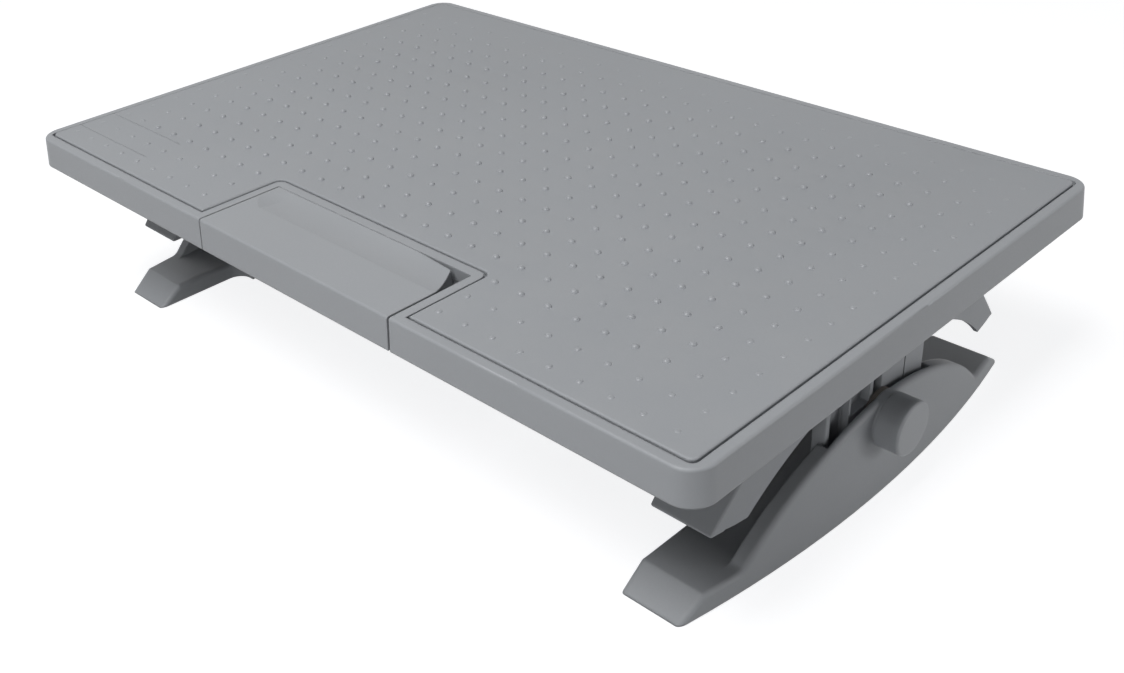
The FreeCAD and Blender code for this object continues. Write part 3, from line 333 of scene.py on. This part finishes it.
FINISHES = make_finishes()
PIECE_FINISHES = {
    "tread_panel": "tread_panel", "platform_frame": "platform_frame", "foot_pedal": "foot_pedal",
    "right_foot": "foot", "left_foot": "foot", "right_side_knob": "knob", "left_side_knob": "knob",
}


def finish_frame():
    """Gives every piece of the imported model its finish."""
    for row in frame["record"]["subparts"]:
        node = frame["nodes"][row["node"]]
        chosen = FINISHES[PIECE_FINISHES.get(row["node"], row["material_slot"])]
        node.data.materials.clear()
        node.data.materials.append(chosen)


# Pieces of the scene
def link_object(name, data):
    """New object at the origin of the scene."""
    piece = bpy.data.objects.new(name, data)
    bpy.context.scene.collection.objects.link(piece)
    return piece


def keep_mesh(name, shape, material):
    """Mesh of a worked shape, with its finish."""
    mesh = bpy.data.meshes.new(name)
    shape.to_mesh(mesh)
    shape.free()
    mesh.materials.append(material)
    return mesh


def set_inputs(modifier, **chosen):
    """Sets inputs of a geometry nodes modifier by the names of its group's sockets."""
    places = {item.name: item.identifier for item in modifier.node_group.interface.items_tree
              if item.in_out == "INPUT"}
    for label, setting in chosen.items():
        modifier[places[label.replace("_", " ").capitalize()]] = setting


def settle(name, tree, body, slot, points=((0, 0, 0),), replaces=(), **chosen):
    """Runs a geometry tree on a set of points and keeps the result as a plain mesh that rides on a body."""
    start = bpy.data.meshes.new(name + "_start")
    start.from_pydata(points, [], [])
    maker = link_object(name + "_maker", start)
    modifier = maker.modifiers.new("shape", "NODES")
    modifier.node_group = tree
    set_inputs(modifier, **chosen)
    bpy.context.view_layer.update()
    evaluated = maker.evaluated_get(bpy.context.evaluated_depsgraph_get())
    mesh = bpy.data.meshes.new_from_object(evaluated)
    mesh.name = name
    bpy.data.objects.remove(maker)
    piece = link_object(name, mesh)
    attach(piece, body)
    if replaces:
        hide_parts(*replaces)
    return piece


def make_dot_tree():
    """Rounded dots on a square lattice, left out over the notch and fading out towards the edges."""
    tree, given, result = new_group(
        "tread_dots",
        [("Geometry", GEOMETRY, None), ("Pitch", FLOAT, DOT_PITCH), ("Columns", WHOLE, DOT_COLUMNS),
         ("Rows", WHOLE, DOT_ROWS), ("Middle x", FLOAT, DOTS_MIDDLE_X), ("Middle y", FLOAT, DOTS_MIDDLE_Y),
         ("Level", FLOAT, 0.0), ("Dot radius", FLOAT, DOT_RADIUS), ("Dot height", FLOAT, DOT_HEIGHT),
         ("Notch half", FLOAT, NOTCH_HALF), ("Notch rear", FLOAT, NOTCH_REAR), ("Finish", MATERIAL, None)],
        [("Geometry", GEOMETRY)], "GeometryNodeTree")
    size = given.outputs
    across = compute(tree, "MULTIPLY", size["Pitch"], compute(tree, "SUBTRACT", size["Columns"], 1.0))
    along = compute(tree, "MULTIPLY", size["Pitch"], compute(tree, "SUBTRACT", size["Rows"], 1.0))
    lattice = add(tree, "GeometryNodeMeshGrid", inputs={"Size X": across, "Size Y": along,
                                                        "Vertices X": size["Columns"], "Vertices Y": size["Rows"]})
    shift = vector(tree, x=size["Middle x"], y=size["Middle y"], z=size["Level"])
    placed = add(tree, "GeometryNodeSetPosition", inputs={"Geometry": lattice.outputs["Mesh"], "Offset": shift})
    at = add(tree, "ShaderNodeSeparateXYZ", inputs={0: add(tree, "GeometryNodeInputPosition").outputs[0]}).outputs
    off_middle = compute(tree, "ABSOLUTE", at["X"])
    over_notch = compute(tree, "MULTIPLY", compute(tree, "LESS_THAN", off_middle, size["Notch half"]),
                         compute(tree, "LESS_THAN", at["Y"], size["Notch rear"]))
    kept = add(tree, "GeometryNodeDeleteGeometry", domain="POINT",
               inputs={"Geometry": placed.outputs[0], "Selection": over_notch})
    # Dots stand lower near the ends and the front and rear edges
    ends, front, rear = (remap(tree, where, full, edge, 1.0, share) for where, (full, edge, share) in
                         ((off_middle, DOT_END_FADE), (at["Y"], DOT_FRONT_FADE), (at["Y"], DOT_REAR_FADE)))
    strength = compute(tree, "MULTIPLY", ends, compute(tree, "MULTIPLY", front, rear))
    slimmed = remap(tree, strength, DOT_LOWEST, 1.0, DOT_NARROWEST, 1.0)
    width = compute(tree, "MULTIPLY", size["Dot radius"], slimmed)
    height = compute(tree, "MULTIPLY", size["Dot height"], strength)
    ball = add(tree, "GeometryNodeMeshUVSphere", inputs={"Segments": 12, "Rings": 6, "Radius": 1.0})
    low = compute(tree, "LESS_THAN", at["Z"], DOT_CUT)
    dome = add(tree, "GeometryNodeDeleteGeometry", domain="POINT",
               inputs={"Geometry": ball.outputs["Mesh"], "Selection": low})
    dots = add(tree, "GeometryNodeInstanceOnPoints",
               inputs={"Points": kept.outputs[0], "Instance": dome.outputs[0],
                       "Scale": vector(tree, x=width, y=width, z=height)})
    smooth = add(tree, "GeometryNodeSetShadeSmooth",
                 inputs={"Geometry": add(tree, "GeometryNodeRealizeInstances",
                                         inputs={"Geometry": dots.outputs[0]}).outputs[0]})
    finished = add(tree, "GeometryNodeSetMaterial", inputs={"Geometry": smooth.outputs[0],
                                                            "Material": size["Finish"]})
    tree.links.new(finished.outputs[0], result.inputs["Geometry"])
    return tree


def make_dots():
    """Dots of the tread; the lattice sits a little left of the middle, as the real one does."""
    settle("tread_dots", make_dot_tree(), "platform", "grey_plastic", level=TREAD_TOP,
           notch_half=NOTCH_HALF + NOTCH_MARGIN, notch_rear=NOTCH_REAR + NOTCH_MARGIN,
           finish=FINISHES["tread_dots"])


def screw_seats(node):
    """Middle, and lowest and highest level, of each upright screw of a node."""
    clusters = []
    for vertex in frame["nodes"][node].data.vertices:
        near = next((each for each in clusters if (vertex.co.xy - each[0].xy).length < SCREWS_APART), None)
        if near is None:
            near = []
            clusters.append(near)
        near.append(vertex.co)
    seats = []
    for cluster in clusters:
        lows, highs = zip(*((min(span), max(span)) for span in zip(*cluster)))
        seats.append((((lows[0] + highs[0]) / 2, (lows[1] + highs[1]) / 2), lows[2], highs[2]))
    return seats


def raised_by(tree, shape, height):
    """A shape moved up by a height."""
    return add(tree, "GeometryNodeSetPosition", inputs={"Geometry": shape,
                                                        "Offset": vector(tree, z=height)}).outputs[0]


def make_screw_tree():
    """Pan-head screws with a cross recess and a thread, heads down at each point, or up when turned."""
    tree, given, result = new_group(
        "cross_screws",
        [("Geometry", GEOMETRY, None), ("Head radius", FLOAT, 0.0035), ("Head height", FLOAT, 0.0022),
         ("Shank radius", FLOAT, 0.0017), ("Length", FLOAT, 0.015), ("Thread", FLOAT, 0.0012),
         ("Turn", FLOAT, 0.0), ("Finish", MATERIAL, None)],
        [("Geometry", GEOMETRY)], "GeometryNodeTree")
    size = given.outputs
    # Head: a rounded disc turned from its outline, less a cross-shaped pocket
    outline = add(tree, "GeometryNodeMeshCylinder", inputs={"Vertices": 28, "Side Segments": 4,
                                                            "Radius": size["Head radius"],
                                                            "Depth": size["Head height"]})
    at = add(tree, "ShaderNodeSeparateXYZ", inputs={0: add(tree, "GeometryNodeInputPosition").outputs[0]}).outputs
    rise = compute(tree, "DIVIDE", at["Z"], size["Head height"])
    waist = remap(tree, rise, 0.5, -0.5, 1.0, 0.0)
    squared = compute(tree, "POWER", compute(tree, "SUBTRACT", 1.0, waist), 2.0)
    narrowing = compute(tree, "MULTIPLY", squared, HEAD_ROUNDING)
    pull = compute(tree, "SQRT", compute(tree, "SUBTRACT", 1.0, narrowing))
    shaped = add(tree, "GeometryNodeSetPosition", inputs={
        "Geometry": outline.outputs["Mesh"],
        "Position": vector(tree, x=compute(tree, "MULTIPLY", at["X"], pull),
                           y=compute(tree, "MULTIPLY", at["Y"], pull), z=at["Z"])})
    pocket = add(tree, "GeometryNodeMeshBoolean", operation="DIFFERENCE", solver="EXACT")
    tree.links.new(shaped.outputs[0], pocket.inputs["Mesh 1"])
    arm = compute(tree, "MULTIPLY", size["Head radius"], RECESS_REACH)
    slim = compute(tree, "MULTIPLY", size["Head radius"], RECESS_WIDTH)
    for across, along in ((slim, arm), (arm, slim)):
        blade = add(tree, "GeometryNodeMeshCube", inputs={"Size": vector(tree, x=across, y=along,
                                                                         z=size["Head height"])})
        drop = compute(tree, "MULTIPLY", size["Head height"], -RECESS_DROP)
        lowered = raised_by(tree, blade.outputs["Mesh"], drop)
        tree.links.new(lowered, pocket.inputs["Mesh 2"])
    head = raised_by(tree, pocket.outputs["Mesh"], compute(tree, "DIVIDE", size["Head height"], 2.0))
    # Shank from the head to the tip, with its thread wound round it
    core = add(tree, "GeometryNodeMeshCylinder", inputs={
        "Vertices": 14, "Radius": compute(tree, "MULTIPLY", size["Shank radius"], CORE_RADIUS),
        "Depth": size["Length"]})
    shank = raised_by(tree, core.outputs["Mesh"], compute(tree, "DIVIDE", size["Length"], 2.0))
    wound = compute(tree, "SUBTRACT", size["Length"], compute(tree, "MULTIPLY", size["Head height"], THREAD_LOSS))
    spiral = add(tree, "GeometryNodeCurveSpiral", inputs={
        "Resolution": 14, "Rotations": compute(tree, "DIVIDE", wound, size["Thread"]),
        "Start Radius": compute(tree, "MULTIPLY", size["Shank radius"], THREAD_RADIUS),
        "End Radius": compute(tree, "MULTIPLY", size["Shank radius"], THREAD_RADIUS), "Height": wound})
    section = add(tree, "GeometryNodeCurvePrimitiveCircle", inputs={
        "Resolution": 3, "Radius": compute(tree, "MULTIPLY", size["Shank radius"], THREAD_SIZE)})
    thread = add(tree, "GeometryNodeCurveToMesh", inputs={"Curve": spiral.outputs["Curve"],
                                                          "Profile Curve": section.outputs["Curve"]})
    wound_on = raised_by(tree, thread.outputs["Mesh"], compute(tree, "MULTIPLY", size["Head height"], THREAD_START))
    screw = add(tree, "GeometryNodeJoinGeometry")
    for part in (head, shank, wound_on):
        tree.links.new(part, screw.inputs[0])
    facing = add(tree, "FunctionNodeRandomValue", data_type="FLOAT_VECTOR",
                 inputs={0: (0.0, 0.0, 0.0), 1: (0.0, 0.0, SCREW_TURN), "Seed": TURN_SEED})
    placed = add(tree, "GeometryNodeInstanceOnPoints", inputs={"Points": size["Geometry"],
                                                               "Instance": screw.outputs[0],
                                                               "Rotation": facing.outputs[0]})
    turned = add(tree, "GeometryNodeRotateInstances", inputs={"Instances": placed.outputs[0],
                                                              "Rotation": vector(tree, x=size["Turn"])})
    real = add(tree, "GeometryNodeRealizeInstances", inputs={"Geometry": turned.outputs[0]})
    finished = add(tree, "GeometryNodeSetMaterial", inputs={"Geometry": real.outputs[0],
                                                            "Material": size["Finish"]})
    tree.links.new(finished.outputs[0], result.inputs["Geometry"])
    return tree


def make_screws():
    """Detailed screws in place of the plain ones; their heads look down, but those of the sector look up."""
    tree = make_screw_tree()
    for node, body, up in (("cradle_screws", "platform", True), ("hanger_screws", "platform", True),
                           ("bridge_screws", "base", True), ("sector_screws", "base", False)):
        seats = screw_seats(node)
        points = [(*middle, low if up else high) for middle, low, high in seats]
        settle("cross_" + node, tree, body, "zinc_steel", points, (node,), length=seats[0][2] - seats[0][1],
               turn=0.0 if up else math.pi, finish=FINISHES["zinc_steel"])


def make_spring_tree():
    """Round wire wound up from each point."""
    tree, given, result = new_group(
        "wound_wire",
        [("Geometry", GEOMETRY, None), ("Coil radius", FLOAT, 0.005), ("Wire radius", FLOAT, SPRING_WIRE),
         ("Height", FLOAT, 0.01), ("Turns", FLOAT, SPRING_TURNS), ("Finish", MATERIAL, None)],
        [("Geometry", GEOMETRY)], "GeometryNodeTree")
    size = given.outputs
    spiral = add(tree, "GeometryNodeCurveSpiral", inputs={
        "Resolution": 40, "Rotations": size["Turns"], "Start Radius": size["Coil radius"],
        "End Radius": size["Coil radius"], "Height": size["Height"]})
    section = add(tree, "GeometryNodeCurvePrimitiveCircle", inputs={"Resolution": 14,
                                                                    "Radius": size["Wire radius"]})
    wire = add(tree, "GeometryNodeCurveToMesh", inputs={
        "Curve": spiral.outputs["Curve"], "Profile Curve": section.outputs["Curve"], "Fill Caps": True})
    placed = add(tree, "GeometryNodeInstanceOnPoints", inputs={"Points": size["Geometry"],
                                                               "Instance": wire.outputs[0]})
    real = add(tree, "GeometryNodeRealizeInstances", inputs={"Geometry": placed.outputs[0]})
    smooth = add(tree, "GeometryNodeSetShadeSmooth", inputs={"Geometry": real.outputs[0]})
    finished = add(tree, "GeometryNodeSetMaterial", inputs={"Geometry": smooth.outputs[0],
                                                            "Material": size["Finish"]})
    tree.links.new(finished.outputs[0], result.inputs["Geometry"])
    return tree


def make_spring():
    """Spring of the brake, wound from round wire in place of the plain one."""
    low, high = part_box("brake_spring")
    middle = (low + high) / 2
    spring = settle("wound_brake_spring", make_spring_tree(), "platform", "zinc_steel",
                    [(middle.x, middle.y, low.z + SPRING_WIRE)], ("brake_spring",),
                    coil_radius=(high.x - low.x) / 2 - SPRING_WIRE, height=high.z - low.z - 2 * SPRING_WIRE,
                    finish=FINISHES["zinc_steel"])
    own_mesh(spring)


def make_floor_pads():
    """Rounded rubber pads, each with three shallow grooves across its sole."""
    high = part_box("floor_pads")[1]
    profile = [(-PAD_HALF_WIDTH, 0.0)]
    for groove in (-1, 0, 1):
        middle = groove * GROOVE_PITCH
        profile += [(middle - GROOVE_FOOT, 0.0), (middle - GROOVE_TOP, GROOVE_DEPTH),
                    (middle + GROOVE_TOP, GROOVE_DEPTH), (middle + GROOVE_FOOT, 0.0)]
    profile += [(PAD_HALF_WIDTH, 0.0), (PAD_HALF_WIDTH, high.z), (-PAD_HALF_WIDTH, high.z)]
    shape = bmesh.new()
    for side in (-1, 1):
        for end in (-1, 1):
            centre = Vector((side * (high.x - PAD_HALF_LENGTH), end * (high.y - PAD_HALF_WIDTH), 0))
            rows = [[shape.verts.new(centre + Vector((across, y, z))) for y, z in profile]
                    for across in (-PAD_HALF_LENGTH, PAD_HALF_LENGTH)]
            for place in range(len(profile)):
                follow = (place + 1) % len(profile)
                shape.faces.new((rows[0][place], rows[0][follow], rows[1][follow], rows[1][place]))
            shape.faces.new(rows[0][::-1])
            shape.faces.new(rows[1])
    bmesh.ops.recalc_face_normals(shape, faces=shape.faces)
    corners = [edge for edge in shape.edges
               if edge.calc_face_angle(0) > SHARP_TURN and edge.calc_length() > LONG_EDGE]
    bmesh.ops.bevel(shape, geom=corners, offset=PAD_ROUND, segments=3, profile=0.5, affect="EDGES",
                    clamp_overlap=True)
    piece = link_object("grooved_floor_pads", keep_mesh("grooved_floor_pads", shape, FINISHES["pad_rubber"]))
    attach(piece, "base")
    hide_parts("floor_pads")


# Floor, light and camera
def seen_straight(tree):
    """1 where the camera sees a surface, also in a reflection or through something clear, else 0."""
    seen = add(tree, "ShaderNodeLightPath").outputs
    return compute(tree, "MAXIMUM", compute(tree, "MAXIMUM", seen["Is Camera Ray"], seen["Is Glossy Ray"]),
                   seen["Is Transmission Ray"])


def make_floor():
    """Pale floor that shows white where it is lit, and keeps the object's shadow."""
    material, tree, shader = new_material("studio_floor")
    shader.inputs["Roughness"].default_value = 1.0
    shader.inputs["Specular IOR Level"].default_value = 0.0
    shader.inputs["Base Color"].default_value = FLOOR_COLOUR
    shader.inputs["Emission Color"].default_value = STAGE_WHITE
    tree.links.new(compute(tree, "MULTIPLY", seen_straight(tree), FLOOR_GLOW), shader.inputs["Emission Strength"])
    shape = bmesh.new()
    bmesh.ops.create_grid(shape, x_segments=1, y_segments=1, size=FLOOR_HALF)
    link_object("studio_floor", keep_mesh("studio_floor", shape, material))


def make_world():
    """Soft light from all round; the backdrop behind the floor shows white."""
    world = bpy.data.worlds.new("studio")
    world.use_nodes = True
    bpy.context.scene.world = world
    tree = world.node_tree
    back = tree.nodes["Background"]
    strength = compute(tree, "MULTIPLY_ADD", seen_straight(tree), 1.0 - SKY_LIGHT, SKY_LIGHT)
    back.inputs["Color"].default_value = STAGE_WHITE
    tree.links.new(strength, back.inputs["Strength"])


def look_matrix(place, target, roll=0.0):
    """World matrix of a camera or lamp at a place that looks at a target, turned about its view by degrees."""
    ahead = (Vector(target) - Vector(place)).normalized()
    right = ahead.cross(Vector((0, 0, 1))).normalized()
    up = right.cross(ahead)
    turned = Matrix((right, up, -ahead)).transposed().to_4x4()
    return Matrix.Translation(place) @ turned @ Matrix.Rotation(math.radians(roll), 4, "Z")


def make_lamps():
    """Soft square lamps in front of, above and beside the object."""
    for name, (place, target, width, power) in LAMPS.items():
        data = bpy.data.lights.new(name, "AREA")
        data.energy = power
        data.size = width
        link_object(name, data).matrix_world = look_matrix(place, target)


def make_camera():
    """Camera at the photograph's viewpoint, close over the front right corner."""
    data = bpy.data.cameras.new("photo_camera")
    data.lens = CAMERA_LENS
    data.sensor_width = SENSOR_WIDTH
    camera = link_object("photo_camera", data)
    camera.matrix_world = look_matrix(CAMERA_PLACE, CAMERA_TARGET, CAMERA_ROLL)
    bpy.context.scene.camera = camera


make_camera()
finish_frame()
make_dots()
make_screws()
make_spring()
make_floor_pads()
make_world()
make_floor()
make_lamps()
bpy.context.scene.view_settings.view_transform = "Standard"
